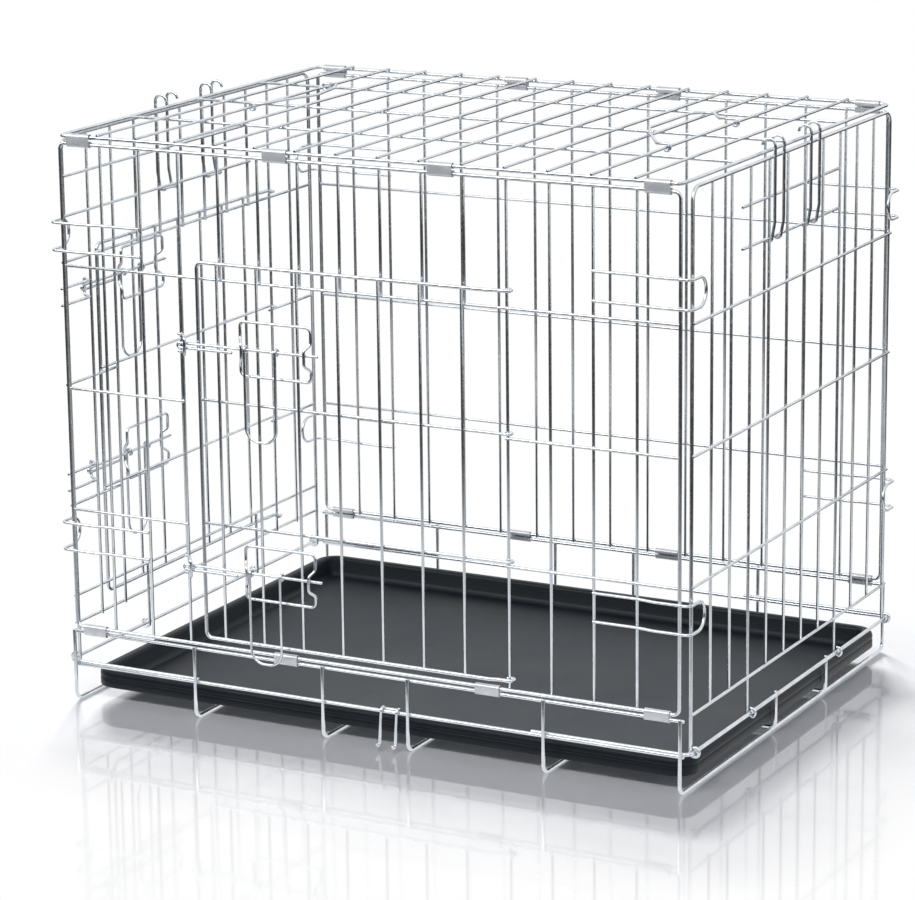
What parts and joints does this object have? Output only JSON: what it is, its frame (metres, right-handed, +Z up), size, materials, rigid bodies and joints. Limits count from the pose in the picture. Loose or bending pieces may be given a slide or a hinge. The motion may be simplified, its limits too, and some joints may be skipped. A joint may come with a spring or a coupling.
{
  "type": "folding wire dog crate",
  "caption": "Folding wire crate for a dog, with a door in its long side and one in its end, rod latches and a slide-out black tray.",
  "frame": {"origin": "on the floor, at the centre of the crate's footprint", "axes": "+X along the long side towards the closed end, -Y is the side with the long door, +Z up"},
  "size_m": [0.66, 0.4901, 0.5527],
  "materials": {
    "zinc_wire": "bright zinc plating",
    "rolled_zinc": "dull zinc plating",
    "black_plastic": "soft sheen"
  },
  "bodies": {
    "crate": {"base_frame": "zinc_wire", "front_panel": "zinc_wire", "back_panel": "zinc_wire", "top_panel": "zinc_wire", "base_back_clip_1": "rolled_zinc", "base_back_clip_2": "rolled_zinc", "base_back_clip_3": "rolled_zinc", "base_back_clip_4": "rolled_zinc", "base_front_clip_1": "rolled_zinc", "base_front_clip_2": "rolled_zinc", "base_front_clip_3": "rolled_zinc", "base_front_clip_4": "rolled_zinc", "top_back_clip_1": "rolled_zinc", "top_back_clip_2": "rolled_zinc", "top_back_clip_3": "rolled_zinc", "top_back_clip_4": "rolled_zinc", "top_front_clip_1": "rolled_zinc", "top_front_clip_2": "rolled_zinc", "top_front_clip_3": "rolled_zinc", "top_front_clip_4": "rolled_zinc", "back_left_lower_tongue": "zinc_wire", "back_left_upper_tongue": "zinc_wire", "back_right_lower_tongue": "zinc_wire", "back_right_upper_tongue": "zinc_wire", "front_left_lower_tongue": "zinc_wire", "front_left_upper_tongue": "zinc_wire", "front_right_lower_tongue": "zinc_wire", "front_right_upper_tongue": "zinc_wire", "front_upper_keeper": "zinc_wire", "front_lower_keeper": "zinc_wire"},
    "left_end": {"left_end_panel": "zinc_wire", "left_upper_keeper": "zinc_wire", "left_lower_keeper": "zinc_wire"},
    "right_end": {"right_end_panel": "zinc_wire"},
    "front_gate": {"front_door": "zinc_wire", "front_upper_guide": "zinc_wire", "front_lower_guide": "zinc_wire"},
    "left_gate": {"left_door": "zinc_wire", "left_upper_guide": "zinc_wire", "left_lower_guide": "zinc_wire"},
    "tray_body": {"tray": "black_plastic"},
    "closure": {"closure_hook": "zinc_wire"},
    "bail_right": {"right_bail": "zinc_wire"},
    "bail_left": {"left_bail": "zinc_wire"},
    "hook_left_front": {"left_front_top_hook": "zinc_wire"},
    "hook_left_back": {"left_back_top_hook": "zinc_wire"},
    "hook_right_front": {"right_front_top_hook": "zinc_wire"},
    "hook_right_back": {"right_back_top_hook": "zinc_wire"},
    "front_upper_rod": {"front_upper_bolt": "zinc_wire"},
    "front_upper_pull": {"front_upper_handle": "zinc_wire"},
    "front_lower_rod": {"front_lower_bolt": "zinc_wire"},
    "front_lower_pull": {"front_lower_handle": "zinc_wire"},
    "left_upper_rod": {"left_upper_bolt": "zinc_wire"},
    "left_upper_pull": {"left_upper_handle": "zinc_wire"},
    "left_lower_rod": {"left_lower_bolt": "zinc_wire"},
    "left_lower_pull": {"left_lower_handle": "zinc_wire"}
  },
  "joints": [
    {"name": "left_end_fold", "type": "hinge", "parent": "crate", "child": "left_end", "pos_m": [-0.321, 0, 0.03804], "axis": [0, 1, 0], "range_deg": [0, 90]},
    {"name": "right_end_fold", "type": "hinge", "parent": "crate", "child": "right_end", "pos_m": [0.321, 0, 0.03804], "axis": [0, -1, 0], "range_deg": [0, 86.7]},
    {"name": "front_gate_swing", "type": "hinge", "parent": "crate", "child": "front_gate", "pos_m": [0.14513, -0.2336, 0.26], "axis": [0, 0, -1], "range_deg": [-150, 0]},
    {"name": "left_gate_swing", "type": "hinge", "parent": "left_end", "child": "left_gate", "pos_m": [-0.317, 0.14344, 0.26], "axis": [0, 0, 1], "range_deg": [-150, 0]},
    {"name": "tray_slide", "type": "slide", "parent": "crate", "child": "tray_body", "axis": [1, 0, 0], "range_m": [-0.45, 0]},
    {"name": "closure_swing", "type": "hinge", "parent": "crate", "child": "closure", "pos_m": [0.025, -0.236, 0.0356], "axis": [1, 0, 0], "range_deg": [-150, 0]},
    {"name": "right_bail_lift", "type": "hinge", "parent": "crate", "child": "bail_right", "pos_m": [0.22807, 0, 0.5422], "axis": [0, -1, 0], "range_deg": [-100, 0]},
    {"name": "left_bail_lift", "type": "hinge", "parent": "crate", "child": "bail_left", "pos_m": [-0.22807, 0, 0.5422], "axis": [0, 1, 0], "range_deg": [-100, 0]},
    {"name": "left_front_hook_swing", "type": "hinge", "parent": "left_end", "child": "hook_left_front", "pos_m": [-0.3148, 0, 0.463], "axis": [0, 1, 0], "range_deg": [-30, 0]},
    {"name": "left_back_hook_swing", "type": "hinge", "parent": "left_end", "child": "hook_left_back", "pos_m": [-0.3148, 0, 0.463], "axis": [0, 1, 0], "range_deg": [-30, 0]},
    {"name": "right_front_hook_swing", "type": "hinge", "parent": "right_end", "child": "hook_right_front", "pos_m": [0.3148, 0, 0.463], "axis": [0, -1, 0], "range_deg": [-30, 0]},
    {"name": "right_back_hook_swing", "type": "hinge", "parent": "right_end", "child": "hook_right_back", "pos_m": [0.3148, 0, 0.463], "axis": [0, -1, 0], "range_deg": [-30, 0]},
    {"name": "front_upper_rod_slide", "type": "slide", "parent": "front_gate", "child": "front_upper_rod", "axis": [-1, 0, 0], "range_m": [-0.018, 0]},
    {"name": "front_upper_pull_swing", "type": "hinge", "parent": "front_upper_rod", "child": "front_upper_pull", "pos_m": [-0.1, -0.24525, 0.36], "axis": [1, 0, 0], "range_deg": [-80, 0]},
    {"name": "front_lower_rod_slide", "type": "slide", "parent": "front_gate", "child": "front_lower_rod", "axis": [-1, 0, 0], "range_m": [-0.018, 0]},
    {"name": "front_lower_pull_swing", "type": "hinge", "parent": "front_lower_rod", "child": "front_lower_pull", "pos_m": [-0.1, -0.24525, 0.151], "axis": [1, 0, 0], "range_deg": [-80, 0]},
    {"name": "left_upper_rod_slide", "type": "slide", "parent": "left_gate", "child": "left_upper_rod", "axis": [0, -1, 0], "range_m": [-0.018, 0]},
    {"name": "left_upper_pull_swing", "type": "hinge", "parent": "left_upper_rod", "child": "left_upper_pull", "pos_m": [-0.32865, -0.09493, 0.3885], "axis": [0, -1, 0], "range_deg": [-80, 0]},
    {"name": "left_lower_rod_slide", "type": "slide", "parent": "left_gate", "child": "left_lower_rod", "axis": [0, -1, 0], "range_m": [-0.018, 0]},
    {"name": "left_lower_pull_swing", "type": "hinge", "parent": "left_lower_rod", "child": "left_lower_pull", "pos_m": [-0.32865, -0.09493, 0.2115], "axis": [0, -1, 0], "range_deg": [-80, 0]}
  ]
}
